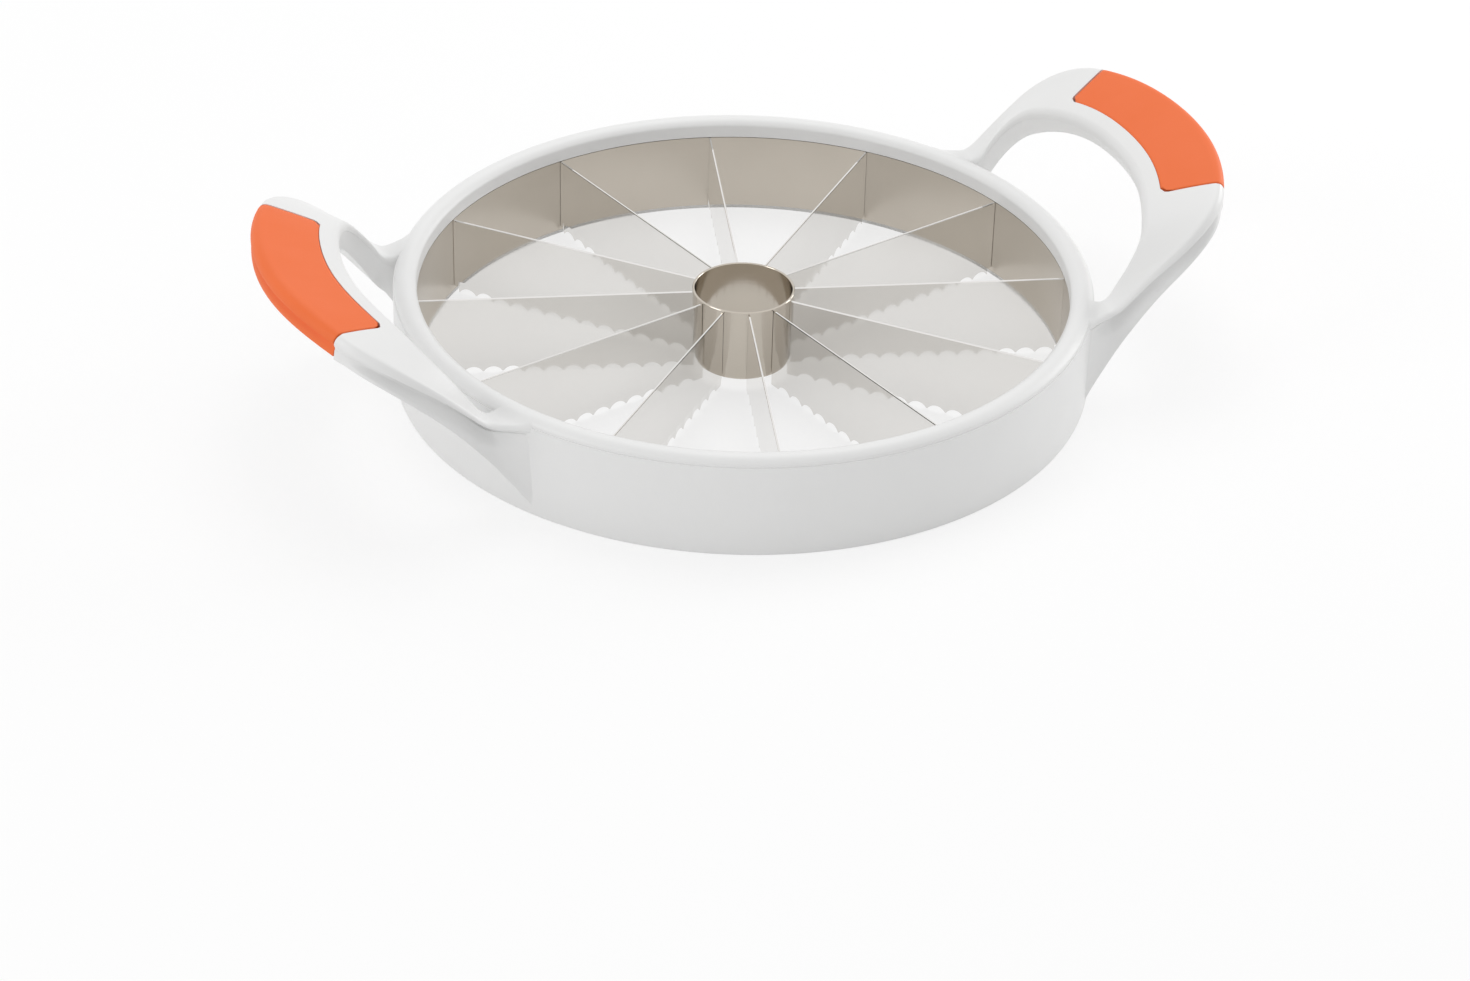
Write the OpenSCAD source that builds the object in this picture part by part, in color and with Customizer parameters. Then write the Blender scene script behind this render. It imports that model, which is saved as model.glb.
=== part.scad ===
// Melon slicer: a steel star of blades in a white ring with two raised loop handles.
// Lengths are millimetres, +Z is up, and the origin is the centre of the ring's underside.

/* [Steel star] */
// Inside radius of the steel band, which is the cutting circle
cut_r = 110; // [100:1:125]
// Height of the steel band
band_h = 27.6; // [24:0.2:36]
// Thickness of the band
band_t = 0.8; // [0.5:0.1:1.2]
// Thickness of a blade
blade_t = 0.7; // [0.4:0.1:1.2]
// How far the tooth tips stay above the face that the slicer stands on
tooth_clear = 0.3; // [0.2:0.1:5]
// Distance from tooth to tooth
tooth_pitch = 6.7; // [4:0.1:10]
// Depth of the hollow between two teeth
tooth_depth = 1.8; // [0.8:0.1:2]
// Width of the flat left at a tooth's tip
tooth_tip = 0.4; // [0.2:0.05:1]
// Width of the corner cut where a blade meets the band
relief_w = 1.6; // [1:0.1:5]
// Height of that corner cut
relief_h = 2.4; // [1:0.1:6]
// Outside radius of the hub tube
hub_r = 17.3; // [12:0.1:24]
// Thickness of the hub tube's wall
hub_t = 0.8; // [0.5:0.1:1.5]
// How far the hub's lower end stays above the band's lower edge
hub_clear = 2.4; // [0.4:0.1:10]
// Height of the bevel that sharpens the hub's lower end
hub_bevel = 1.6; // [0.5:0.1:3]
// Width of the edge left by that bevel
hub_edge = 0.2; // [0.1:0.05:0.4]
// How far the hub stands above the backs of the blades
hub_proud = 0.8; // [0.2:0.1:1]
// Gap at the welds between the blades, the hub and the band
weld_gap = 0.15; // [0.1:0.05:0.3]

/* [Ring] */
// Width of the rim, seen from above
rim_w = 7.5; // [7:0.1:10]
// Height of the rim's rounded top above the rim's edges
rim_arch = 2.1; // [1.5:0.1:3]
// Height of the rim's crown above the band
rim_crown = 6.6; // [5:0.1:9]
// How far the outer wall stands outside the rim
wall_step = 0.5; // [0.2:0.1:1]
// Thickness of the outer wall
wall_t = 2.5; // [2:0.1:3]
// Thickness of the ledge under the band
floor_t = 1.2; // [0.8:0.1:3]
// Thickness of the rib behind the band
rib_t = 2; // [1.2:0.1:2.2]
// Depth of the rim's seat below the rim's edges
seat_drop = 0.7; // [0.3:0.1:1.5]

/* [Handles] */
// Width of a handle across its two arms
handle_w = 123.2; // [112:0.2:140]
// Reach of a handle from the outer wall to its tip
handle_len = 48; // [38:0.2:60]
// Radius of the handle's outer bow
bow_r = 99; // [80:1:130]
// Radius of its outer corners
corner_r = 27.5; // [20:0.5:36]
// Width of an arm where it leaves the ring
arm_w = 9.9; // [8:0.1:14]
// Radius, in plan, of the fillet where an arm's outer edge runs into the ring
root_fillet = 10; // [4:0.5:14]
// Width of the bow at the tip
bow_w = 29.3; // [24:0.1:33]
// Radius of the opening's bow
opening_bow_r = 93.5; // [80:0.5:120]
// Radius of the opening's corners
opening_corner_r = 14.3; // [10:0.1:24]
// Height of the bow's outer edge above the rim's seat
handle_rise = 33.8; // [24:0.2:45]
// How far the bow's inner edge lies below its outer edge
bow_tilt = 6.1; // [2:0.1:8]
// Height of the handle's edges above the rim's seat where they leave the ring
edge_low = 0.4; // [0.2:0.1:0.6]
// How far inside the outer wall's face the handle starts to climb
climb_start = 8; // [5:0.5:12]
// How early the handle's edges climb (1 straight, 2 half a parabola)
edge_ease = 1.65; // [1.4:0.05:2]
// Height of the crown across the bow at the tip
crown_rise = 2.7; // [1.5:0.1:4]
// Share of the handle's width at which the crown is highest
crown_peak = 0.87; // [0.5:0.01:0.9]
// Thickness of the handle's top plate at its edges
plate_t = 3.3; // [2.6:0.1:3.6]
// Thickness of the whole handle at the bow's outer edge
bow_outer_t = 6.9; // [6.2:0.1:12]
// Thickness of the whole handle at the bow's inner edge
bow_inner_t = 7; // [5.2:0.1:9]
// How far the underside is set in from the plate's edges
under_inset = 0.9; // [0.4:0.1:1.5]
// How far the underside's outer face leans out, per unit of its depth
under_lean = 0.3; // [0.1:0.02:0.4]
// Height of the underside's lowest edge above the ground
under_low = 0.6; // [0.3:0.1:2]
// How far behind the outer wall's face the underside starts to climb
under_start = 5; // [2:0.5:8]
// How early the underside's outer edge climbs
under_outer_ease = 1.75; // [1.5:0.05:2]
// How early the underside's inner edge climbs
under_inner_ease = 1.5; // [1.3:0.05:1.7]
// Gap between the plates and undersides along the handles
parting_gap = 0.3; // [0.2:0.05:0.5]

/* [Grips] */
// Thickness of a grip pad
pad_t = 2.2; // [1.6:0.1:2.6]
// Bare width of the bow inside a pad
pad_margin = 6.6; // [4:0.1:10]
// Run of the handle's outline where a pad ends at its inner edge (2 corner end, 3 tip)
pad_end_inner = 2.22; // [2.1:0.01:2.5]
// Run of the handle's outline where a pad ends at its outer edge
pad_end_outer = 2.06; // [2.02:0.01:2.5]
// Gap round a pad in its pocket
pad_gap = 0.3; // [0.2:0.05:0.4]
// Width of the rounding along a pad's outer edge
pad_edge = 0.8; // [0.4:0.1:1.2]
// How far a pad's lower edge is tucked in below its outer edge
pad_tuck = 1.4; // [0.8:0.1:1.5]
// Height of a pad's lower edge above the underside
pad_foot = 0.9; // [0.5:0.1:1.5]

/* [Screws] */
// Radius of a screw's shank
screw_r = 1.5; // [1:0.1:1.8]
// Radius of a screw's head
screw_head_r = 2.9; // [2.2:0.1:3.4]
// Height of a screw's head
screw_head_h = 1.8; // [1.2:0.1:2.4]
// Length of a screw below its head
screw_len = 8; // [6:0.5:9]
// Clearance round a screw
screw_gap = 0.1; // [0.05:0.05:0.3]
// Plastic left over the end of a screw's hole
screw_cover = 1.6; // [1:0.1:2.5]
// Run of the handle's outline at which the screws stand
screw_run = 1.9; // [1.7:0.05:2.1]

/* [Hidden] */

$fn = 96;
eps = 0.01;
white = [0.91, 0.91, 0.905];
orange = [0.93, 0.45, 0.26];
steel = [0.78, 0.76, 0.73];
zinc = [0.62, 0.62, 0.63];

// Steel star, worked out
blade_count = 12;
blade_step = 360 / blade_count;
first_blade = blade_step / 2;
band_top = floor_t + band_h;
blade_in = hub_r + weld_gap;
blade_out = cut_r - weld_gap;
blade_low = tooth_clear;
hub_top = band_top + hub_proud;
hub_low = floor_t + hub_clear;
tooth_r = (pow((tooth_pitch - tooth_tip) / 2, 2) + pow(tooth_depth, 2)) / (2 * tooth_depth);
tooth_count = floor((blade_out - relief_w - blade_in) / tooth_pitch);
first_tooth = blade_out - relief_w - tooth_count * tooth_pitch;

// Ring, worked out
fit_gap = 0.3;
top_gap = 0.2;
rim_mid = cut_r + rim_w / 2;
rim_out = cut_r + rim_w;
rim_top = band_top + rim_crown;
rim_round = (pow(rim_w / 2, 2) + pow(rim_arch, 2)) / (2 * rim_arch);
round_z = rim_top - rim_round;
rim_edge_z = rim_top - rim_arch;
seat_z = rim_edge_z - seat_drop;
wall_r = rim_out + wall_step;
wall_in = wall_r - wall_t;
rib_in = cut_r + band_t + fit_gap;

// Handles, worked out
half_w = handle_w / 2;
reach = wall_r + handle_len;
opening_half = half_w - arm_w;
opening_reach = reach - bow_w;
plate_root_r = rim_mid - eps;
under_root_r = wall_r - wall_t / 2;
edge_low_z = seat_z + edge_low;
tip_outer_z = seat_z + handle_rise;
tip_inner_z = tip_outer_z - bow_tilt;
edge_round = plate_t / 2;
climb_x = wall_r - climb_start;
climb_margin = 1;
fillet_x = sqrt(pow(wall_r + root_fillet, 2) - pow(half_w + root_fillet, 2));
fillet_len = fillet_x * root_fillet / (wall_r + root_fillet);

// Runs along a handle: 0 root, 1 corner start, 2 corner end, 3 tip, then back to 6 at the other root
tip_run = 3;
last_run = 2 * tip_run;
climb_run = 0.5;
arm_runs = [0, 0.1, 0.18, 0.26, 0.34, 0.42, climb_run, 0.66, 0.83];
corner_steps = 10;
bow_steps = 9;
half_runs = concat(
  arm_runs,
  [for (i = [0:corner_steps - 1]) 1 + i / corner_steps],
  [for (i = [0:bow_steps]) 2 + i / bow_steps]
);
handle_runs = concat(half_runs, [for (i = [len(half_runs) - 2:-1:0]) last_run - half_runs[i]]);
plate_points = 9;
under_points = 5;
pad_steps = 22;
pad_side_steps = 3;

function corner_turn(half, bow, corner) = asin((half - corner) / (bow - corner));
function corner_x(half, tip, bow, corner) =
  tip - bow + sqrt(pow(bow - corner, 2) - pow(half - corner, 2));

// A point of a handle's outline in plan: a straight arm, level and then climbing, a corner arc, a bow arc
function half_outline(run, root, half, tip, bow, corner) =
  let (
    turn = corner_turn(half, bow, corner), cx = corner_x(half, tip, bow, corner),
    bend = min(climb_x, cx - climb_margin)
  )
  run <= climb_run ? [root + (bend - root) * run / climb_run, half]
  : run <= 1 ? [bend + (cx - bend) * (run - climb_run) / (1 - climb_run), half]
  : run <= 2 ? let (a = 90 - (90 - turn) * (run - 1)) [cx + corner * cos(a), half - corner + corner * sin(a)]
  : let (a = turn * (tip_run - run)) [tip - bow + bow * cos(a), bow * sin(a)];

// How far the fillet takes an arm's outer edge outwards, and the half width that it reaches at the wall
function flare(x) =
  root_fillet - sqrt(pow(root_fillet, 2) - pow(min(fillet_len, max(0, fillet_x - x)), 2));
root_half = half_w + flare(0);

function folded(run) = min(run, last_run - run);
function sided(run, p) = run <= tip_run ? [p[0], -p[1]] : p;
function root_x(root_r, half) = sqrt(pow(root_r, 2) - pow(half, 2));
function outer_point(run, root_r) =
  let (p = half_outline(folded(run), root_x(root_r, root_half), half_w, reach, bow_r, corner_r))
  sided(run, [p[0], p[1] + flare(p[0])]);
function inner_point(run, root_r) =
  let (root = root_x(root_r, opening_half))
  sided(run, half_outline(folded(run), root, opening_half, opening_reach, opening_bow_r, opening_corner_r));

// Heights along the handle climb to a level top
function climb(x, from, to, low, high, ease) =
  high - (high - low) * pow(1 - min(1, max(0, (x - from) / (to - from))), ease);
function wall_x(y) = sqrt(pow(wall_r, 2) - pow(y, 2));
function outer_z(x) = climb(x, climb_x, reach, edge_low_z, tip_outer_z, edge_ease);
function inner_z(x) = climb(x, climb_x, opening_reach, edge_low_z, tip_inner_z, edge_ease);
function under_outer_z(x) =
  climb(x, wall_x(half_w) - under_start, reach, under_low, tip_outer_z - bow_outer_t, under_outer_ease);
function under_inner_z(x) =
  let (top = tip_inner_z - bow_inner_t)
  climb(x, wall_x(opening_half) - under_start, opening_reach, under_low, top, under_inner_ease);

// One section across the handle, from its inner edge to its outer edge:
// [inner point, outer point, width, inner edge height, outer edge height]
function section(run, root_r) =
  let (a = inner_point(run, root_r), b = outer_point(run, root_r))
  [a, b, norm(b - a), inner_z(a[0]), outer_z(b[0])];
function chord_z(s, w) = s[3] + (s[4] - s[3]) * w / s[2];
function crown_share(u) =
  1 - pow(u < crown_peak ? 1 - u / crown_peak : (u - crown_peak) / (1 - crown_peak), 2);
function crown_z(s, w) = chord_z(s, w) + crown_rise * pow(s[2] / bow_w, 2) * crown_share(w / s[2]);
function place(s, w, z) =
  let (p = s[0] + (s[1] - s[0]) * w / s[2]) [p[0], p[1], z];

// A closed skin over rings of points. A ring is an upper rail, inner to outer, then the lower rail back.
module skin(rings) {
  n = len(rings[0]);
  last = len(rings) - 1;
  m = n / 2;
  points = [for (r = rings) for (p = r) p];
  sides = [for (i = [0:last - 1]) for (j = [0:n - 1])
    let (a = i * n + j, b = i * n + (j + 1) % n, c = a + n, d = b + n) each [[a, c, b], [b, c, d]]];
  start = [for (j = [0:m - 2])
    let (a = j, b = j + 1, c = n - 1 - j, d = n - 2 - j) each [[a, b, c], [b, d, c]]];
  end = [for (f = start) [for (k = [2:-1:0]) f[k] + last * n]];
  polyhedron(points, concat(sides, start, end));
}

// Top plate of a handle: crowned above, flat below, with rounded edges
plate_shares = [0.025, 0.12, 0.28, 0.45, 0.62, 0.78, 0.9, 0.97];
function plate_ring(run) =
  let (s = section(run, plate_root_r), l = s[2], r = edge_round)
  concat(
    [place(s, 0, s[3] - r)],
    [for (u = plate_shares) place(s, u * l, crown_z(s, u * l))],
    [place(s, l, s[4] - r)],
    [for (i = [plate_points:-1:0])
      let (w = r / 2 + (l - r) * i / plate_points) place(s, w, chord_z(s, w) - plate_t)]
  );

// Underside of a handle: a rib that leans out and grows into the wall, with the fillet only at its top
function under_ring(run) =
  let (
    s = section(run, under_root_r), l = s[2], d = plate_t + parting_gap,
    low_in = 2 * under_inset,
    lean_out = under_lean * (s[4] - d - under_outer_z(s[1][0])) - flare(s[1][0]),
    low_out = l - under_inset + lean_out,
    zi = under_inner_z(s[0][0]), zo = under_outer_z(place(s, low_out, 0)[0])
  )
  concat(
    [for (i = [0:under_points])
      let (w = under_inset + (l - 2 * under_inset) * i / under_points) place(s, w, chord_z(s, w) - d)],
    [for (i = [under_points:-1:0])
      let (u = i / under_points) place(s, low_in + u * (low_out - low_in), zi + (zo - zi) * u)]
  );

// Run at which a pad, grown by a gap, stands for a step along it and a share of its width
function pad_run(step, share, grow) =
  let (from = pad_end_inner + (pad_end_outer - pad_end_inner) * share - grow)
  from + (last_run - 2 * from) * step;

// One ring of a grip pad, which covers the bow's top and wraps down its outer side
pad_shares = [0, 0.22, 0.44, 0.66, 0.85, 1];
pad_belly = 0.75;
pad_shelf = 0.55;
function pad_top(step, share, inset, drop) =
  let (
    s = section(pad_run(step, share, 0), plate_root_r),
    w = pad_margin + share * (s[2] - pad_margin - inset)
  )
  place(s, w, crown_z(s, w) - drop);
function pad_side(step, inset, z_share) =
  let (s = section(pad_run(step, 1, 0), plate_root_r), low = under_outer_z(s[1][0]) + pad_foot)
  place(s, s[2] - inset, low + (s[4] - low) * z_share);
function pad_ring(step) = concat(
  [for (u = pad_shares) pad_top(step, u, pad_edge, 0)],
  [for (k = [0:pad_side_steps])
    let (v = k / pad_side_steps) pad_side(step, pad_tuck * v * v, pad_belly * (1 - v))],
  [for (k = [0:pad_side_steps]) pad_side(step, pad_t, pad_shelf * k / pad_side_steps)],
  [for (i = [len(pad_shares) - 1:-1:0]) pad_top(step, pad_shares[i], pad_t, pad_t)]
);

// The pocket that a pad lies in, open upwards and outwards
pocket_reach = 8;
pocket_d = pad_t + pad_gap;
pocket_grow = pad_gap / (bow_r * corner_turn(half_w, bow_r, corner_r) * PI / 180);
function pocket_top(step, share, lift) =
  let (
    s = section(pad_run(step, share, pocket_grow), plate_root_r),
    edge = pad_margin - pad_gap, w = edge + share * (s[2] - edge - pocket_d)
  )
  place(s, w, crown_z(s, w) + lift);
function pocket_side(step, out, lift) =
  let (s = section(pad_run(step, 1, pocket_grow), plate_root_r)) place(s, s[2] + out, s[4] + lift);
function pocket_ring(step) = concat(
  [for (u = pad_shares) pocket_top(step, u, pocket_reach)],
  [pocket_side(step, pocket_reach, pocket_reach), pocket_side(step, pocket_reach, -2 * pocket_reach)],
  [pocket_side(step, -pocket_d, -2 * pocket_reach), pocket_side(step, -pocket_d, -pocket_d)],
  [for (i = [len(pad_shares) - 1:-1:0]) pocket_top(step, pad_shares[i], -pocket_d)]
);

// Screw places, as [x, y, height of the head's seat]
function screw_place(run) =
  let (s = section(run, plate_root_r), p = (s[0] + s[1]) / 2, top = crown_z(s, s[2] / 2))
  [p[0], p[1], top - screw_cover - screw_gap - screw_len];
screw_places = [screw_place(screw_run), screw_place(last_run - screw_run)];

module at_both_ends() {
  children();
  mirror([1, 0, 0]) children();
}

module plates() { at_both_ends() skin([for (r = handle_runs) plate_ring(r)]); }
module undersides() { at_both_ends() skin([for (r = handle_runs) under_ring(r)]); }
module pad_pockets() { at_both_ends() skin([for (i = [0:pad_steps]) pocket_ring(i / pad_steps)]); }

// Rim, lip and the rib that stands behind the band
module rim_ring() {
  rotate_extrude() {
    intersection() {
      translate([cut_r, seat_z]) square([rim_w, rim_top - seat_z + eps]);
      union() {
        translate([rim_mid, round_z]) circle(r = rim_round);
        translate([cut_r, seat_z]) square([rim_w, rim_edge_z - seat_z]);
      }
    }
    translate([cut_r, band_top + top_gap])
      square([wall_in - fit_gap - cut_r, seat_z - band_top - top_gap + eps]);
    translate([rib_in, floor_t + fit_gap]) square([rib_t, band_top - floor_t]);
  }
}

// Outer wall with the ledge that carries the band
module wall_ring() {
  rotate_extrude() {
    translate([wall_in, 0]) square([wall_t, seat_z]);
    translate([cut_r, 0]) square([wall_r - cut_r, floor_t]);
  }
}

// Notches in the wall for the roots of the plates
module plate_notches() {
  low = edge_low_z - plate_t - parting_gap;
  x_in = wall_x(half_w + arm_w);
  at_both_ends() for (side = [0, 1]) mirror([0, side, 0])
    translate([x_in, opening_half - parting_gap, low])
      cube([climb_x - x_in, root_half - opening_half + 2 * parting_gap, plate_t]);
}

module screw_holes(r, low, high) {
  at_both_ends() for (p = screw_places) translate([p[0], p[1], p[2] + low]) cylinder(r = r, h = high - low);
}

module upper_frame() {
  color(white) difference() {
    union() {
      rim_ring();
      plates();
    }
    pad_pockets();
    screw_holes(screw_r + screw_gap, -screw_len, screw_len + screw_gap);
  }
}

module lower_frame() {
  color(white) difference() {
    union() {
      difference() {
        wall_ring();
        plate_notches();
      }
      undersides();
    }
    pad_pockets();
    screw_holes(screw_r + screw_gap, -screw_len, 2 * screw_len);
    screw_holes(screw_head_r + screw_gap, -2 * screw_len, 0);
  }
}

module steel_band() {
  color(steel) translate([0, 0, floor_t]) rotate_extrude()
    translate([cut_r, 0]) square([band_t, band_h]);
}

module hub_tube() {
  inside = hub_r - hub_t;
  color(steel) rotate_extrude() polygon([
    [inside, hub_top], [hub_r, hub_top], [hub_r, hub_low + hub_bevel],
    [inside + hub_edge, hub_low], [inside, hub_low]
  ]);
}

// A blade with a straight back and hollow-ground teeth along its lower edge
module blade(number) {
  color(steel) rotate([0, 0, first_blade + (number - 1) * blade_step])
    translate([0, blade_t / 2, 0]) rotate([90, 0, 0]) linear_extrude(blade_t) difference() {
      translate([blade_in, blade_low]) square([blade_out - blade_in, band_top - blade_low]);
      translate([blade_out - relief_w, blade_low - eps]) square([relief_w + eps, relief_h]);
      for (i = [0:tooth_count - 1])
        translate([first_tooth + (i + 0.5) * tooth_pitch, blade_low + tooth_depth - tooth_r])
          circle(r = tooth_r);
    }
}

module pad() { skin([for (i = [0:pad_steps]) pad_ring(i / pad_steps)]); }
module right_grip() { color(orange) pad(); }
module left_grip() { color(orange) mirror([1, 0, 0]) pad(); }

module screw() {
  cylinder(r = screw_r, h = screw_len);
  translate([0, 0, -screw_head_h]) cylinder(r = screw_head_r, h = screw_head_h);
}
module right_handle_screws() { color(zinc) for (p = screw_places) translate(p) screw(); }
module left_handle_screws() { color(zinc) mirror([1, 0, 0]) for (p = screw_places) translate(p) screw(); }

function blade_node(number) = str("blade_", number < 10 ? "0" : "", number);

upper_frame();
lower_frame();
steel_band();
hub_tube();
for (i = [1:blade_count]) blade(i);
left_grip();
right_grip();
left_handle_screws();
right_handle_screws();
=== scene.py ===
import math

import bmesh
import bpy
from mathutils import Matrix, Vector


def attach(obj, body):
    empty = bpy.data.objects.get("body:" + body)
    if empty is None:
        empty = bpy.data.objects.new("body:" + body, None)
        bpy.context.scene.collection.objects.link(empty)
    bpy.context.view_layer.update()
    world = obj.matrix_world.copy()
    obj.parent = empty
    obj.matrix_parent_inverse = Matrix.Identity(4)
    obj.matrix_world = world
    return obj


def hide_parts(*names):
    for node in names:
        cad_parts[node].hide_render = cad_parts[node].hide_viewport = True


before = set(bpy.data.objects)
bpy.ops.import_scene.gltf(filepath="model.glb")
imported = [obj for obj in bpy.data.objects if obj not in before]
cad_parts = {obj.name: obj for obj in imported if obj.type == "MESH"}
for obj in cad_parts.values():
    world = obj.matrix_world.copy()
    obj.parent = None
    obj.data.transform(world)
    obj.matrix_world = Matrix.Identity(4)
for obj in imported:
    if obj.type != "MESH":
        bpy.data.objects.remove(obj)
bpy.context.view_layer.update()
mm = 0.001
print("frame loaded")

# sizes in millimetres, as in the part's source
ring = dict(cutRadius=110, bandHeight=27.6, bandThick=0.8, ledge=1.2, rimWidth=7.5, rimArch=2.1, rimCrown=6.6,
            wallStep=0.5, wall=2.5, rib=2, seatDrop=0.7, fitGap=0.3, topGap=0.2)
handle = dict(width=123.2, length=48, bowRadius=99, cornerRadius=27.5, armWidth=9.9, bowWidth=29.3,
              openingBow=93.5, openingCorner=14.3, rise=33.79, tilt=6.1, edgeLow=0.4, climbStart=8,
              edgeEase=1.65, softStart=3.5, rimFillet=6, rimHide=4, plate=3.3, parting=0.03,
              crownRise=2.6, crownPeak=0.87, crownStart=98, crownLength=22,
              rootStart=108.7, rootEnd=97.8, rootFlare=4.4, rootEase=1.2,
              bowOuter=6.9, bowInner=7, inset=0.9, low=0.6, underStart=5, outerEase=1.75, innerEase=1.5,
              edgeRound=(2, 1.4), coveHeight=5, coveFlat=0.6, lip=2.4)
# how far an underside leans out, less near the ring and near the pads
lean = dict(full=0.3, root=0.22, rootFrom=112, rootOver=14, padFrom=155, padOver=10, padShare=0.45)
# depth of the hollow under a plate's edge, by the x of that edge
hollow = ((97.8, 1.5), (103, 2.2), (110, 2.8), (126, 3.6), (143, 4), (150, 3), (153, 1.2), (154.6, 0.3))
pad = dict(thick=2.2, margin=6.6, endInner=2.22, endOuter=2.06, gap=0.08, foot=0.9,
           cornerRun=0.05, cornerShare=0.16, hollow=1.5, edgeRound=(1.5, 1.1))
screw = dict(run=1.9, radius=1.5, headRadius=2.9, headHeight=1.8, length=8, gap=0.1, cover=1.6, slot=0.9,
             slotLength=3.6, slotDepth=1.1)

bandTop = ring["ledge"] + ring["bandHeight"]
rimTop = bandTop + ring["rimCrown"]
rimEdge = rimTop - ring["rimArch"]
rimMid = ring["cutRadius"] + ring["rimWidth"] / 2
rimOut = ring["cutRadius"] + ring["rimWidth"]
seat = rimEdge - ring["seatDrop"]
wallOut = rimOut + ring["wallStep"]
wallIn = wallOut - ring["wall"]
halfWidth = handle["width"] / 2
openingHalf = halfWidth - handle["armWidth"]
reach = wallOut + handle["length"]
openingReach = reach - handle["bowWidth"]
edgeLowZ = seat + handle["edgeLow"]
tipOuter = seat + handle["rise"]
tipInner = tipOuter - handle["tilt"]
pocketDepth = pad["thick"] + pad["gap"]
climbX = wallOut - handle["climbStart"]
archRadius = (ring["rimWidth"] ** 2 / 4 + ring["rimArch"] ** 2) / (2 * ring["rimArch"])
archZ = rimTop - archRadius

# runs along a handle: 0 at one root, 3 at the tip, 6 at the other root
tipRun = 3
lastRun = 2 * tipRun
runLength = 49  # millimetres of bow to one run
pocketStep = 0.004  # between an arm's last ring and the pocket's end


def smooth(share):
    share = min(1, max(0, share))
    return share * share * (3 - 2 * share)


def spread(a, b, count):
    return [a + (b - a) * i / count for i in range(count + 1)]


def flare(x):
    # how far an arm's outer edge runs outwards on its way into the ring
    along = (handle["rootStart"] - x) / (handle["rootStart"] - handle["rootEnd"])
    return handle["rootFlare"] * min(1, max(0, along)) ** handle["rootEase"]


def halfOutline(run, root, half, tip, bow, corner):
    # straight arm to run 1, level and then climbing, corner arc to run 2, bow arc to run 3
    turn = math.asin((half - corner) / (bow - corner))
    cornerX = tip - bow + math.sqrt((bow - corner) ** 2 - (half - corner) ** 2)
    bend = min(climbX, cornerX - 1)
    if run <= 0.5:
        return root + (bend - root) * run * 2, half
    if run <= 1:
        return bend + (cornerX - bend) * (run * 2 - 1), half
    if run <= 2:
        a = math.pi / 2 - (math.pi / 2 - turn) * (run - 1)
        return cornerX + corner * math.cos(a), half - corner + corner * math.sin(a)
    a = turn * (tipRun - run)
    return tip - bow + bow * math.cos(a), bow * math.sin(a)


def innerPoint(run, rootRadius):
    root = math.sqrt(rootRadius ** 2 - openingHalf ** 2)
    x, y = halfOutline(min(run, lastRun - run), root, openingHalf, openingReach,
                       handle["openingBow"], handle["openingCorner"])
    return Vector((x, -y if run <= tipRun else y))


def outerPoint(run, rootRadius):
    root = math.sqrt(rootRadius ** 2 - (halfWidth + flare(0)) ** 2)
    x, y = halfOutline(min(run, lastRun - run), root, halfWidth, reach, handle["bowRadius"],
                       handle["cornerRadius"])
    y += flare(x)
    return Vector((x, -y if run <= tipRun else y))


def climb(x, start, end, low, high, ease):
    return high - (high - low) * (1 - min(1, max(0, (x - start) / (end - start)))) ** ease


def wallX(y):
    return math.sqrt(wallOut ** 2 - y ** 2)


def softClimb(x, end, high):
    # an edge leaves the ring's level in a soft bend
    z = high - (high - edgeLowZ) * (1 - min(1, (x - climbX) / (end - climbX))) ** handle["edgeEase"]
    near = max(0, 1 - abs(z - edgeLowZ) / handle["softStart"])
    return max(z, edgeLowZ) + handle["softStart"] * near ** 2 / 4


def outerZ(x):
    return softClimb(x, reach, tipOuter)


def innerZ(x):
    return softClimb(x, openingReach, tipInner)


def underOuterZ(x):
    return climb(x, wallX(halfWidth) - handle["underStart"], reach, handle["low"],
                 tipOuter - handle["bowOuter"], handle["outerEase"])


def underInnerZ(x):
    return climb(x, wallX(openingHalf) - handle["underStart"], openingReach, handle["low"],
                 tipInner - handle["bowInner"], handle["innerEase"])


class Cut:
    # one cut across the handle, from its inner edge (w = 0) to its outer edge (w = wide)
    def __init__(self, run, rootRadius):
        self.inner, self.outer = innerPoint(run, rootRadius), outerPoint(run, rootRadius)
        self.wide = (self.outer - self.inner).length
        self.innerZ, self.outerZ = innerZ(self.inner.x), outerZ(self.outer.x)

    def chord(self, w):
        return self.innerZ + (self.outerZ - self.innerZ) * w / self.wide

    def crown(self, w):
        u, peak = w / self.wide, handle["crownPeak"]
        side = 1 - u / peak if u < peak else (u - peak) / (1 - peak)
        rise = handle["crownRise"] * (self.wide / handle["bowWidth"]) ** 2
        rise *= smooth((self.outer.x - handle["crownStart"]) / handle["crownLength"])
        return self.chord(w) + rise * (1 - side ** 2)

    def at(self, w, z):
        p = self.inner + (self.outer - self.inner) * w / self.wide
        return Vector((p.x, p.y, z))

    def top(self, w):
        # the crown, with the fillet that takes it up onto the rim
        p = self.at(w, self.crown(w))
        p.z = blended(math.hypot(p.x, p.y), p.z, 1 - smooth(min(w, self.wide - w) / handle["rimHide"]))
        return p

    def side(self, w, drop, full):
        # a point down a rounded edge, where the fillet's lift runs out at the full drop
        p, low = self.top(w), self.crown(w)
        p.z = low - drop + (p.z - low) * (1 - min(1, drop / full))
        return p


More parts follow.
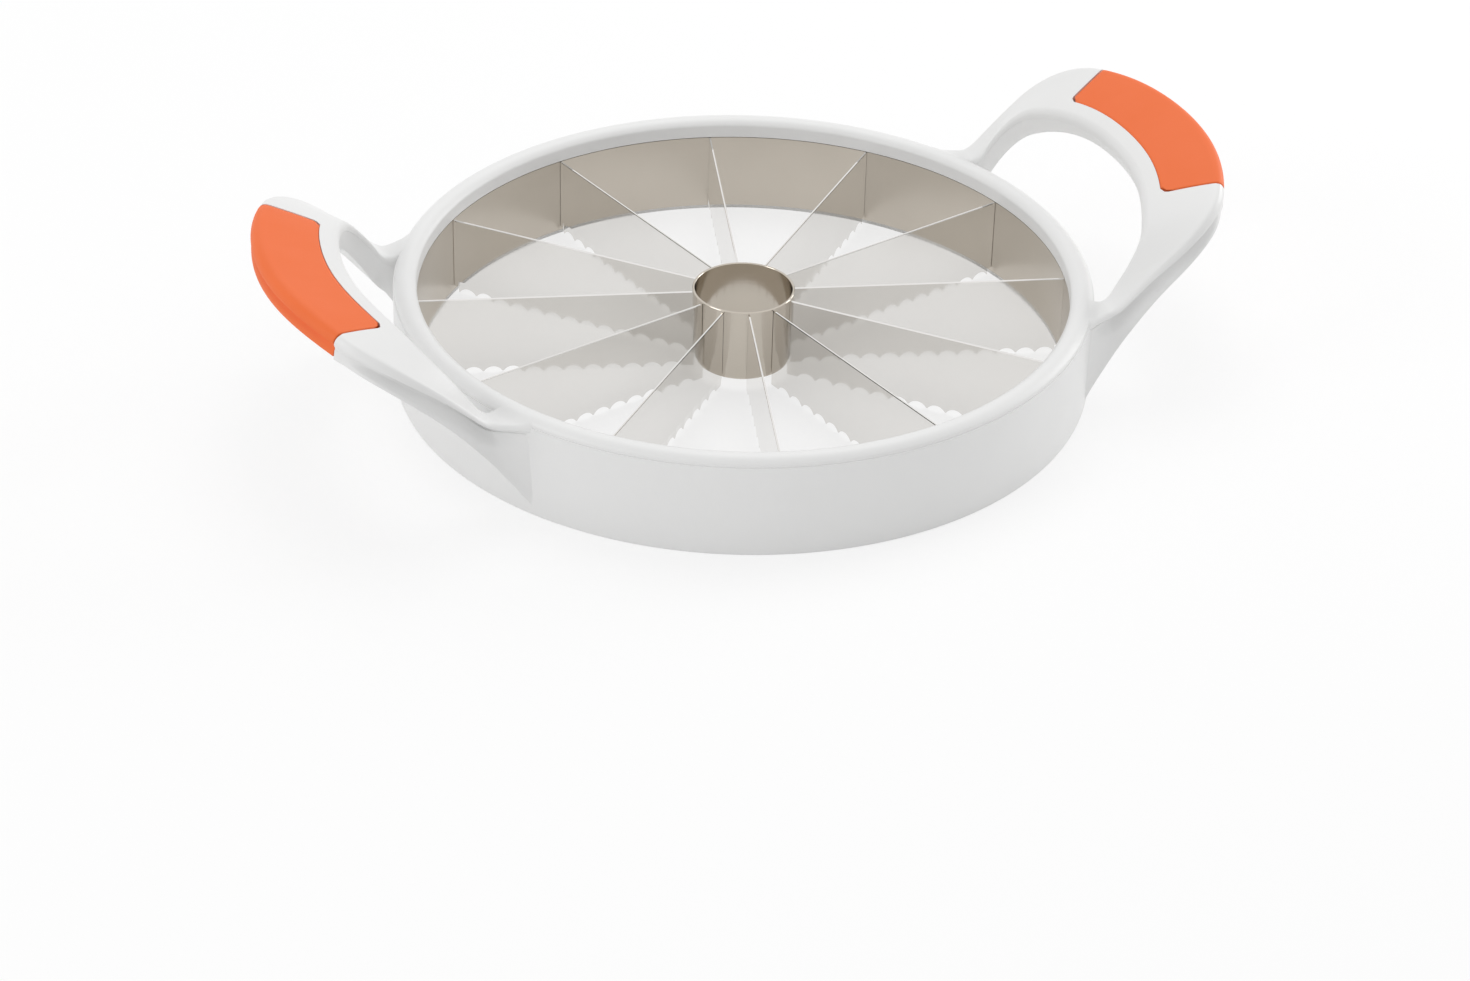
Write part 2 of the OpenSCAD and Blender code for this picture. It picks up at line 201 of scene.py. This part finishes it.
def blended(radius, z, hide):
    # a fillet takes a plate's top up onto the rim's arch, which covers its end near a plate's edges
    r = handle["rimFillet"]
    far = math.sqrt(max(0, (archRadius + r) ** 2 - (z + r - archZ) ** 2))
    touch = far * archRadius / (archRadius + r)
    out = radius - rimMid
    if out >= far:
        return z
    lift = (0.1 - 0.075 * hide) * (1 - math.cos(2 * math.pi * out / far)) - 0.04 * (1 - out / far)
    lift -= 0.15 * hide * smooth((touch + 0.6 - out) / 1.6)
    if out > touch:
        return z + r - math.sqrt(r ** 2 - (far - out) ** 2) + lift
    return archZ + math.sqrt(archRadius ** 2 - out ** 2) + lift


def padEnd(share, grow=0):
    # run at which a pad ends: a skewed line with a rounded inner corner
    end = pad["endInner"] + (pad["endOuter"] - pad["endInner"]) * share - grow
    if share < pad["cornerShare"]:
        end += pad["cornerRun"] * (1 - math.sqrt(1 - (1 - share / pad["cornerShare"]) ** 2))
    return end


def runAt(t, share, grow):
    # t goes 0 to 1 up the first arm, to 2 along the pad and to 3 down the second arm
    end = padEnd(share, grow)
    if t <= 1:
        return end * t
    return end + (lastRun - 2 * end) * (t - 1) if t <= 2 else lastRun - end * (3 - t)


def loft(bm, rings):
    loops = []
    for points in rings:
        corners = [bm.verts.new(p * mm) for p in points]
        loops.append([bm.edges.new(pair) for pair in zip(corners, corners[1:] + corners[:1])])
    for near, far in zip(loops, loops[1:]):
        bmesh.ops.bridge_loops(bm, edges=near + far)
    for end in (loops[0], loops[-1]):
        bmesh.ops.contextual_create(bm, geom=end)


def turned(bm, profile, steps=256):
    # a closed profile of (radius, height) points, spun about the hub's axis
    corners = [bm.verts.new(Vector((r, 0, z)) * mm) for r, z in profile]
    edges = [bm.edges.new(pair) for pair in zip(corners, corners[1:] + corners[:1])]
    bmesh.ops.spin(bm, geom=corners + edges, cent=(0, 0, 0), axis=(0, 0, 1), angle=2 * math.pi,
                   steps=steps, use_merge=True)


def addMesh(name, bm, material, sharp=35):
    bmesh.ops.remove_doubles(bm, verts=bm.verts, dist=1e-6)
    bmesh.ops.recalc_face_normals(bm, faces=bm.faces)
    for face in bm.faces:
        face.smooth = True
    for edge in bm.edges:
        edge.smooth = edge.is_manifold and edge.calc_face_angle(0) < math.radians(sharp)
    mesh = bpy.data.meshes.new(name)
    bm.to_mesh(mesh)
    bm.free()
    piece = bpy.data.objects.new(name, mesh)
    bpy.context.scene.collection.objects.link(piece)
    mesh.materials.append(material)
    return piece


def asPart(piece, node):
    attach(piece, "root")
    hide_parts(node)


def joined(name, pieces, cutters, material, sharp=35):
    # one clean solid from overlapping shells, with holes cut
    base = pieces[0]
    for tool, job in [(p, "UNION") for p in pieces[1:]] + [(c, "DIFFERENCE") for c in cutters]:
        step = base.modifiers.new(job.lower(), "BOOLEAN")
        step.operation, step.solver, step.object = job, "EXACT", tool
    shape = bpy.data.meshes.new_from_object(base.evaluated_get(bpy.context.evaluated_depsgraph_get()))
    bm = bmesh.new()
    bm.from_mesh(shape)
    for old in pieces + cutters:
        bpy.data.objects.remove(old)
    piece = addMesh(name, bm, material, sharp)
    even = piece.modifiers.new("even", "WEIGHTED_NORMAL")
    even.keep_sharp = True
    return piece


class Wire:
    # a node's number socket that takes Python's own operators
    def __init__(self, owner, socket):
        self.owner, self.socket = owner, socket

    def math(self, operation, a, b):
        return self.owner.node("ShaderNodeMath", dict(operation=operation), {0: a, 1: b})

    def __add__(self, other):
        return self.math("ADD", self, other)

    def __sub__(self, other):
        return self.math("SUBTRACT", self, other)

    def __rsub__(self, other):
        return self.math("SUBTRACT", other, self)

    def __mul__(self, other):
        return self.math("MULTIPLY", self, other)

    __radd__, __rmul__ = __add__, __mul__


class Nodes:
    # the node tree of a material or of the world
    def __init__(self, tree):
        self.tree = tree

    def node(self, kind, settings, sockets, output=0):
        new = self.tree.nodes.new(kind)
        for key, value in settings.items():
            setattr(new, key, value)
        for key, value in sockets.items():
            self.feed(new.inputs[key], value)
        return Wire(self, new.outputs[output])

    def feed(self, socket, value):
        if isinstance(value, Wire):
            self.tree.links.new(value.socket, socket)
        else:
            socket.default_value = value

    def seen(self):
        # 1 on rays from the camera, straight or by way of a shiny or clear surface
        mask = self.node("ShaderNodeLightPath", {}, {}, "Is Camera Ray")
        for kind in ("Is Glossy Ray", "Is Transmission Ray"):
            ray = self.node("ShaderNodeLightPath", {}, {}, kind)
            mask = self.node("ShaderNodeMath", dict(operation="MAXIMUM"), {0: mask, 1: ray})
        return mask


class Finish(Nodes):
    # a material with its shader
    def __init__(self, name, **shader):
        self.material = bpy.data.materials.new(name)
        self.material.use_nodes = True
        super().__init__(self.material.node_tree)
        self.shader = self.tree.nodes["Principled BSDF"]
        self.place = self.node("ShaderNodeTexCoord", {}, {}, "Object")
        for socket, value in shader.items():
            self.set(socket.replace("_", " "), value)

    def set(self, socket, value):
        self.feed(self.shader.inputs[socket], value)

    def noise(self, scale, detail=3, rough=0.5, stretch=(1, 1, 1)):
        spot = self.node("ShaderNodeMapping", {}, {"Vector": self.place, "Scale": stretch})
        sockets = {"Vector": spot, "Scale": scale, "Detail": detail, "Roughness": rough}
        return self.node("ShaderNodeTexNoise", {}, sockets, "Fac")

    def blend(self, share, a, b):
        return self.node("ShaderNodeMix", dict(data_type="RGBA"), {0: share, 6: (*a, 1), 7: (*b, 1)}, 2)

    def bump(self, height, depth):
        sockets = {"Height": height, "Strength": 1.0, "Distance": depth}
        self.set("Normal", self.node("ShaderNodeBump", {}, sockets))


def whitePlastic():
    look = dict(colour=(0.80, 0.80, 0.795), shade=(0.77, 0.77, 0.765), rough=0.34)
    f = Finish("whitePlastic", Specular_IOR_Level=0.45)
    cloud = f.noise(35, 4)
    grain = f.noise(2600, 2)
    f.set("Base Color", f.blend(cloud, look["colour"], look["shade"]))
    f.set("Roughness", look["rough"] + 0.10 * cloud + 0.08 * (grain - 0.5))
    f.bump(grain, 0.00002)
    return f.material


def orangePad():
    look = dict(colour=(0.84, 0.157, 0.034), shade=(0.81, 0.146, 0.028), rough=0.5)
    f = Finish("orangePad", Specular_IOR_Level=0.4)
    cloud = f.noise(60, 4)
    grain = f.noise(3200, 3, 0.6)
    f.set("Base Color", f.blend(cloud, look["colour"], look["shade"]))
    f.set("Roughness", look["rough"] + 0.12 * cloud)
    f.bump(grain, 0.00004)
    return f.material


def polishedSteel():
    look = dict(colour=(0.82, 0.81, 0.79), shade=(0.77, 0.755, 0.735), rough=0.03)
    f = Finish("polishedSteel", Metallic=1.0)
    haze = f.noise(25, 4)
    lines = f.noise(900, 3, 0.6, (1, 1, 0.06))
    f.set("Base Color", f.blend(haze, look["colour"], look["shade"]))
    f.set("Roughness", look["rough"] + 0.04 * haze + 0.03 * lines)
    f.bump(lines, 0.0000015)
    return f.material


def rolledSteel(name, rough):
    look = dict(colour=(0.60, 0.55, 0.485), shade=(0.52, 0.475, 0.41), rough=rough)
    f = Finish(name, Metallic=1.0)
    haze = f.noise(18, 4)
    lines = f.noise(40, 3, 0.6, (0.3, 0.3, 18))
    f.set("Base Color", f.blend(haze, look["colour"], look["shade"]))
    f.set("Roughness", look["rough"] + 0.06 * haze + 0.05 * lines)
    f.bump(lines, 0.000004)
    return f.material


def zincPlate():
    look = dict(colour=(0.55, 0.55, 0.56), shade=(0.44, 0.44, 0.43), rough=0.3)
    f = Finish("zincPlate", Metallic=1.0)
    cloud = f.noise(500, 3)
    f.set("Base Color", f.blend(cloud, look["colour"], look["shade"]))
    f.set("Roughness", look["rough"] + 0.15 * cloud)
    f.bump(cloud, 0.00002)
    return f.material


white = whitePlastic()
orange = orangePad()
steel = polishedSteel()
bandSteel = rolledSteel("bandSteel", 0.24)
hubSteel = rolledSteel("hubSteel", 0.08)
zinc = zincPlate()
print("finishes made")


# handles: plates, undersides and pads

loftSteps = dict(arm=70, pad=64, padTop=16, bare=8, plateLow=8, under=6, underRun=80, cove=8,
                 padCrown=20, padSide=12)


def coveAt(x):
    for (x0, deep0), (x1, deep1) in zip(hollow, hollow[1:]):
        if x <= x1:
            return deep0 + (deep1 - deep0) * max(0, x - x0) / (x1 - x0)
    return hollow[-1][1]


def roundedEdge(wide, deep):
    # steps in from the outer edge and down from the top, over a rounded edge
    turns = [math.radians(a) for a in (18, 40, 60, 78, 90)]
    return [(wide * (1 - math.sin(a)), deep * (1 - math.cos(a))) for a in turns]


def plateRing(t, inPad):
    grow = pad["gap"] / runLength
    edge = pad["margin"] - pad["gap"]
    first = Cut(runAt(t, 0, grow), rimMid)
    plate = handle["plate"]
    # the inner edge, in steps in from it and down from the top
    lowEdge = ((0.15, plate), (0.04, plate - 0.1), (0, plate - 0.3))
    highEdge = ((0, 1.9), (0.25, 1.1), (0.8, 0.35))
    points = [first.at(w, first.chord(w) - d) for w, d in lowEdge]
    points += [first.side(w, d, plate) for w, d in highEdge]
    points += [first.top(w) for w in spread(1.6, edge - 0.05, loftSteps["bare"])]
    for share in spread(0, 1, loftSteps["padTop"]):
        c = Cut(runAt(t, share, grow), rimMid)
        if inPad:
            w = edge + share * (c.wide - edge - pocketDepth)
            points.append(c.at(w, c.crown(w) - pocketDepth))
        else:
            w = edge + share * (c.wide - edge - handle["edgeRound"][0])
            points.append(c.top(w))
    c = Cut(runAt(t, 1, grow), rimMid)
    cove = coveAt(c.outer.x)
    under = [(0.07 * cove, 1.75), (0.3 * cove, 2.1), (0.65 * cove, 2.5), (cove, 2.8)]
    for w, d in roundedEdge(*handle["edgeRound"]) + under:
        if inPad:
            w = c.wide - pocketDepth
            top = c.crown(w) - pocketDepth
            points.append(c.at(w, top + (c.chord(w) - plate - top) * (0.1 + 0.9 * d / plate)))
        else:
            deep = handle["edgeRound"][1]
            w = c.wide - w
            points.append(c.side(w, d, deep) if d < deep else c.at(w, c.crown(w) - d))
    w = c.wide - (pocketDepth if inPad else min(handle["lip"], cove))
    points.append(c.at(w, c.chord(w) - plate))
    for share in spread(0.8, 0.1, loftSteps["plateLow"]):
        c = Cut(runAt(t, share, grow), rimMid)
        w = share * (c.wide - pocketDepth if inPad else c.wide)
        points.append(c.at(w, c.chord(w) - plate))
    return points


def plateRings():
    arm = [t ** 1.3 * (1 - pocketStep) for t in spread(0, 1, loftSteps["arm"])]
    rings = [plateRing(t, False) for t in arm]
    rings += [plateRing(t, True) for t in spread(1, 2, loftSteps["pad"])]
    rings += [plateRing(3 - t, False) for t in reversed(arm)]
    return rings


def underRing(run, inPad):
    c = Cut(run, wallOut - ring["wall"] / 2)
    drop = handle["plate"] + handle["parting"]
    cove = coveAt(c.outer.x)
    inset = min(handle["inset"], cove)
    flush = 0.15
    lowIn = 2 * handle["inset"]
    x = c.outer.x
    tilt = lean["full"] + (lean["root"] - lean["full"]) * smooth((lean["rootFrom"] - x) / lean["rootOver"])
    tilt *= lean["padShare"] + (1 - lean["padShare"]) * smooth((lean["padFrom"] - x) / lean["padOver"])
    out = tilt * (c.outerZ - drop - underOuterZ(x)) - flare(x)
    lowOut = c.wide - inset + out
    zIn = underInnerZ(c.inner.x)
    zOut = underOuterZ(c.at(lowOut, 0).x)
    topOut = c.wide - cove

    def bottom(w):
        return zIn + (zOut - zIn) * (w - lowIn) / (lowOut - lowIn)

    if inPad:
        topOut = lowOut = c.wide - pocketDepth
        out = cove = 0
    points = [c.at(w, c.chord(w) - drop) for w in spread(flush, topOut, loftSteps["under"])]
    topZ, lowZ = points[-1].z, bottom(lowOut)
    deep = topZ - lowZ
    near = min(handle["coveHeight"], deep * 0.7)
    flat = near * handle["coveFlat"] / handle["coveHeight"]
    below = [near + (deep - near) * u for u in (0.25, 0.5, 0.75, 0.93)]
    for s in spread(flat, near, loftSteps["cove"]) + below:
        dip = (cove - inset) * (1 + math.cos(math.pi * min(1, (s - flat) / (near - flat)))) / 2
        points.append(c.at(lowOut - out + out * s / deep - dip, topZ - s))
    points += [c.at(lowOut - k, bottom(lowOut - k)) for k in (0.25, 0.7)]
    points += [c.at(w, bottom(w)) for w in spread(lowOut - 1.5, lowIn + 1.5, loftSteps["under"])]
    points += [c.at(lowIn + k, bottom(lowIn + k)) for k in (0.7, 0.25)]
    topZ, lowZ = c.chord(flush) - drop, bottom(lowIn)
    for u in (0.08, 0.25, 0.5, 0.75):
        points.append(c.at(lowIn + (flush - lowIn) * u, lowZ + (topZ - lowZ) * u))
    return points


def underRings():
    end = pad["endOuter"] - pad["gap"] / runLength
    count = loftSteps["underRun"]
    rings = [underRing(r, False) for r in spread(0, end - pocketStep, count)]
    rings += [underRing(r, True) for r in spread(end, lastRun - end, count)]
    rings += [underRing(r, False) for r in spread(lastRun - end + pocketStep, lastRun, count)]
    return rings


def padRing(t):
    first = Cut(runAt(t, 0, 0), rimMid)
    m, thick = pad["margin"], pad["thick"]
    innerEdge = ((0, thick - 0.3), (0, 0.4), (0.07, 0.18), (0.25, 0.04))
    points = [first.at(m + w, first.crown(m + w) - d) for w, d in innerEdge]
    for share in spread(0, 1, loftSteps["padCrown"]):
        c = Cut(runAt(t, share, 0), rimMid)
        w = m + 0.9 + share * (c.wide - m - 0.9 - pad["edgeRound"][0])
        points.append(c.at(w, c.crown(w)))
    c = Cut(runAt(t, 1, 0), rimMid)
    low = underOuterZ(c.outer.x) + pad["foot"]
    points += [c.at(c.wide - w, c.crown(c.wide - w) - d) for w, d in roundedEdge(*pad["edgeRound"])]
    edgeLow = points[-1].z
    deep = pad["hollow"] * (0.65 + 0.35 * smooth(8 * min(t - 1, 2 - t)))
    for v in spread(0, 1, loftSteps["padSide"])[1:]:
        dip = deep * math.sin(math.pi * min(1, v / 0.85) ** 0.65) ** 2
        points.append(c.at(c.wide - dip, edgeLow + (low - edgeLow) * v))
    points += [c.at(c.wide - thick, low + (c.outerZ - low) * v) for v in (0, 0.25, 0.5)]
    for share in spread(1, 0.03, loftSteps["padSide"]):
        c = Cut(runAt(t, share, 0), rimMid)
        w = m + share * (c.wide - m - thick)
        points.append(c.at(w, c.crown(w) - thick))
    return points


def screwSpots(side):
    # under-head points of a handle's two screws
    spots = []
    for run in (screw["run"], lastRun - screw["run"]):
        c = Cut(run, rimMid)
        p = c.at(c.wide / 2, c.crown(c.wide / 2) - screw["cover"] - screw["gap"] - screw["length"])
        p.x *= -1 if side == "left" else 1
        spots.append(p)
    return spots


def bores(radius, low, high):
    bm = bmesh.new()
    for p in screwSpots("right") + screwSpots("left"):
        place = Matrix.Translation((p + Vector((0, 0, (low + high) / 2))) * mm)
        bmesh.ops.create_cone(bm, cap_ends=True, segments=48, radius1=radius * mm, radius2=radius * mm,
                              depth=(high - low) * mm, matrix=place)
    return addMesh("bores", bm, white)


def flipped(bm):
    bmesh.ops.scale(bm, vec=(-1, 1, 1), verts=bm.verts)


def handleShells(name, rings, material):
    made = []
    for side in ("right", "left"):
        bm = bmesh.new()
        loft(bm, rings)
        if side == "left":
            flipped(bm)
        made.append(addMesh(side + name, bm, material))
    return made


archSteps = 20
archHalf = math.asin(ring["rimWidth"] / 2 / archRadius)
ribIn = ring["cutRadius"] + ring["bandThick"] + ring["fitGap"]
lipLow = bandTop + ring["topGap"]
rimProfile = [(ring["cutRadius"], lipLow), (ring["cutRadius"], rimEdge - 0.4)]
rimProfile += [(rimMid + archRadius * math.sin(a), rimTop - archRadius * (1 - math.cos(a)))
               for a in spread(-archHalf * 0.96, archHalf * 0.96, archSteps)]
ribOut = ribIn + ring["rib"]
ribLow = ring["ledge"] + ring["fitGap"]
lipOut = wallIn - ring["fitGap"]
rimProfile += [(rimOut, rimEdge - 0.35), (rimOut, seat), (lipOut, seat), (lipOut, lipLow),
               (ribOut, lipLow), (ribOut, ribLow), (ribIn, ribLow), (ribIn, lipLow)]
bm = bmesh.new()
turned(bm, rimProfile)
rimShell = addMesh("rimShell", bm, white)
plateShells = handleShells("PlateShell", plateRings(), white)
shankBores = bores(screw["radius"] + screw["gap"], -2 * screw["length"], screw["length"] + screw["gap"])
upperFrame = joined("upperFrame", [rimShell] + plateShells, [shankBores], white)
asPart(upperFrame, "upper_frame")
print("upper frame made")

wallProfile = [(ring["cutRadius"], 0), (wallOut - 0.7, 0), (wallOut - 0.2, 0.2), (wallOut, 0.7),
               (wallOut, seat - 0.5), (wallOut - 0.15, seat - 0.15), (wallOut - 0.5, seat),
               (wallIn, seat), (wallIn, ring["ledge"]), (ring["cutRadius"], ring["ledge"])]
bm = bmesh.new()
turned(bm, wallProfile)
wallShell = addMesh("wallShell", bm, white)
underShells = handleShells("UnderShell", underRings(), white)
shankBores = bores(screw["radius"] + screw["gap"], -2 * screw["length"], 2 * screw["length"])
headBores = bores(screw["headRadius"] + screw["gap"], -2 * screw["length"], 0)
lowerFrame = joined("lowerFrame", [wallShell] + underShells, [shankBores, headBores], white)
asPart(lowerFrame, "lower_frame")
print("lower frame made")

for side in ("right", "left"):
    bm = bmesh.new()
    loft(bm, [padRing(t) for t in spread(1, 2, loftSteps["pad"])])
    if side == "left":
        flipped(bm)
    caps = [f for f in bm.faces if len(f.verts) > 4]
    bmesh.ops.bevel(bm, geom=list({e for f in caps for e in f.edges}), offset=0.00022, segments=3,
                    profile=0.5, affect="EDGES", material=-1)
    grip = addMesh(side + "Grip", bm, orange, 50)
    asPart(grip, side + "_grip")
print("grips made")


# steel star

star = dict(bladeCount=12, bladeThick=0.7, toothPitch=6.7, toothDepth=1.8, toothTip=0.4, toothClear=0.3,
            toothSteps=10, reliefWidth=1.6, reliefHeight=2.4, hubRadius=17.3, hubThick=0.8, hubClear=2.4,
            hubBevel=1.6, hubEdge=0.2, hubProud=0.8, weldGap=0.15, grind=2.6, grindDepth=0.45)

bm = bmesh.new()
c, t = ring["cutRadius"], ring["bandThick"]
turned(bm, [(c, ring["ledge"]), (c + t, ring["ledge"]), (c + t, bandTop), (c, bandTop)])
asPart(addMesh("steelBand", bm, bandSteel), "steel_band")

hubIn, hubOut = star["hubRadius"] - star["hubThick"], star["hubRadius"]
hubTop, hubLow = bandTop + star["hubProud"], ring["ledge"] + star["hubClear"]
bm = bmesh.new()
turned(bm, [(hubIn, hubLow), (hubIn + star["hubEdge"], hubLow), (hubOut, hubLow + star["hubBevel"]),
            (hubOut, hubTop - 0.15), (hubOut - 0.12, hubTop), (hubIn + 0.12, hubTop),
            (hubIn, hubTop - 0.15)], 160)
asPart(addMesh("hubTube", bm, hubSteel), "hub_tube")


def toothLine():
    # lower edge of a blade, from the hub out to the corner cut at the band
    inner, outer = star["hubRadius"] + star["weldGap"], ring["cutRadius"] - star["weldGap"]
    low = star["toothClear"]
    half, depth = (star["toothPitch"] - star["toothTip"]) / 2, star["toothDepth"]
    radius = (half ** 2 + depth ** 2) / (2 * depth)
    count = int((outer - star["reliefWidth"] - inner) // star["toothPitch"])
    start = outer - star["reliefWidth"] - count * star["toothPitch"]
    line = [(inner, low), (start, low)] if start - inner > 0.5 else [(inner, low)]
    for i in range(count):
        middle = start + (i + 0.5) * star["toothPitch"]
        for x in spread(-half, half, star["toothSteps"]):
            line.append((middle + x, low + depth - radius + math.sqrt(radius ** 2 - x ** 2)))
    cut, high = outer - star["reliefWidth"], low + star["reliefHeight"]
    line += [(cut, low), (cut + 0.08, high), (outer, high)]
    return line


def blade(number):
    bm = bmesh.new()
    corners = [bm.verts.new(Vector((x, 0, z)) * mm) for x, z in toothLine()]
    edges = [bm.edges.new(pair) for pair in zip(corners, corners[1:])]
    low = star["toothClear"]
    for height in (low + star["toothDepth"] + star["grind"], bandTop - 0.25, bandTop):
        grown = bmesh.ops.extrude_edge_only(bm, edges=edges)["geom"]
        tops = [v for v in grown if isinstance(v, bmesh.types.BMVert)]
        edges = [e for e in grown if isinstance(e, bmesh.types.BMEdge)]
        for v in tops:
            v.co.z = height * mm
    bmesh.ops.recalc_face_normals(bm, faces=bm.faces)
    bmesh.ops.solidify(bm, geom=bm.faces[:], thickness=star["bladeThick"] * mm)
    middle = sum(v.co.y for v in bm.verts) / len(bm.verts)
    bmesh.ops.translate(bm, verts=bm.verts, vec=(0, -middle, 0))
    for v in bm.verts:
        if v.co.y > 0 and v.co.z < (low + star["toothDepth"] + 0.2) * mm:
            v.co.y -= star["grindDepth"] * mm
        if v.co.z > (bandTop - 0.1) * mm:
            v.co.y *= 0.75
    turn = math.radians(360 / star["bladeCount"] * (number - 0.5))
    bmesh.ops.rotate(bm, verts=bm.verts, cent=(0, 0, 0), matrix=Matrix.Rotation(turn, 3, "Z"))
    piece = addMesh(f"blade{number:02d}", bm, steel, 4)
    asPart(piece, f"blade_{number:02d}")


for number in range(1, star["bladeCount"] + 1):
    blade(number)
print("steel star made")


def screwPair(side):
    # pan-head screws, driven in from below, with cross slots
    shanks, slots = bmesh.new(), bmesh.new()
    r, head, high, long = screw["radius"], screw["headRadius"], screw["headHeight"], screw["length"]
    size = Matrix.Diagonal((screw["slotLength"] * mm, screw["slot"] * mm, 2 * screw["slotDepth"] * mm, 1))
    for p in screwSpots(side):
        one = bmesh.new()
        turned(one, [(0, long), (r - 0.3, long), (r, long - 0.4), (r, 0), (head, 0), (head, 0.5 - high),
                     (head - 0.25, 0.15 - high), (head - 0.7, -high), (0, -high)], 48)
        bmesh.ops.translate(one, verts=one.verts, vec=p * mm)
        shape = bpy.data.meshes.new("screw")
        one.to_mesh(shape)
        one.free()
        shanks.from_mesh(shape)
        for turn in (0, math.pi / 2):
            place = Matrix.Translation((p - Vector((0, 0, high))) * mm) @ Matrix.Rotation(turn, 4, "Z")
            bmesh.ops.create_cube(slots, size=1, matrix=place @ size)
    cutter = addMesh("slots", slots, zinc)
    return joined(side + "Screws", [addMesh("shanks", shanks, zinc)], [cutter], zinc)


for side in ("left", "right"):
    asPart(screwPair(side), side + "_handle_screws")
print("screws made")


# floor, light and camera

studio = dict(floor=4, floorWhite=0.92, floorGlow=0.7, world=0.71, key=8, left=5, right=7)


def paleFloor():
    f = Finish("paleFloor", Base_Color=(studio["floorWhite"],) * 3 + (1,), Roughness=0.9)
    glow = f.node("ShaderNodeEmission", {}, {"Color": (1, 1, 1, 1), "Strength": 1.0})
    lit = Wire(f, f.shader.outputs[0])
    both = f.node("ShaderNodeMixShader", {}, {0: f.seen() * studio["floorGlow"], 1: lit, 2: glow})
    f.feed(f.tree.nodes["Material Output"].inputs["Surface"], both)
    return f.material


bm = bmesh.new()
bmesh.ops.create_grid(bm, x_segments=2, y_segments=2, size=studio["floor"])
floor = addMesh("paleFloor", bm, paleFloor())

world = bpy.data.worlds.new("studio")
bpy.context.scene.world = world
world.use_nodes = True
sky = Nodes(world.node_tree)
background = sky.tree.nodes["Background"]
sky.feed(background.inputs["Color"], (1, 1, 1, 1))
sockets = {"Value": sky.seen(), "To Min": studio["world"], "To Max": 1.0}
sky.feed(background.inputs["Strength"], sky.node("ShaderNodeMapRange", {}, sockets))


def softLamp(name, place, size, power):
    lamp = bpy.data.lights.new(name, "AREA")
    lamp.shape, lamp.size, lamp.energy = "DISK", size, power
    o = bpy.data.objects.new(name, lamp)
    o.location = place
    o.rotation_euler = Vector(place).to_track_quat("Z", "Y").to_euler()
    bpy.context.scene.collection.objects.link(o)


softLamp("keyLamp", (0.3, 0.75, 1.7), 1.4, studio["key"])
softLamp("leftLamp", (-1.5, -0.1, 0.8), 0.9, studio["left"])
softLamp("rightLamp", (1.5, 0.3, 0.5), 0.9, studio["right"])

view = dict(place=(-0.4185, -1.0279, 0.6688), back=(-0.3155, -0.7770, 0.5448),
            right=(0.92653, -0.37622, 0), roll=0.0274, lens=92.78)
back, right = Vector(view["back"]).normalized(), Vector(view["right"])
up = back.cross(right)
c, s = math.cos(view["roll"]), math.sin(view["roll"])
lens = bpy.data.cameras.new("photoView")
lens.sensor_width, lens.lens, lens.clip_end = 36, view["lens"], 20
camera = bpy.data.objects.new("photoView", lens)
camera.rotation_euler = Matrix((c * right + s * up, c * up - s * right, back)).transposed().to_euler()
camera.location = view["place"]
bpy.context.scene.collection.objects.link(camera)
bpy.context.scene.camera = camera
bpy.context.scene.view_settings.view_transform = "Standard"
print("studio made")
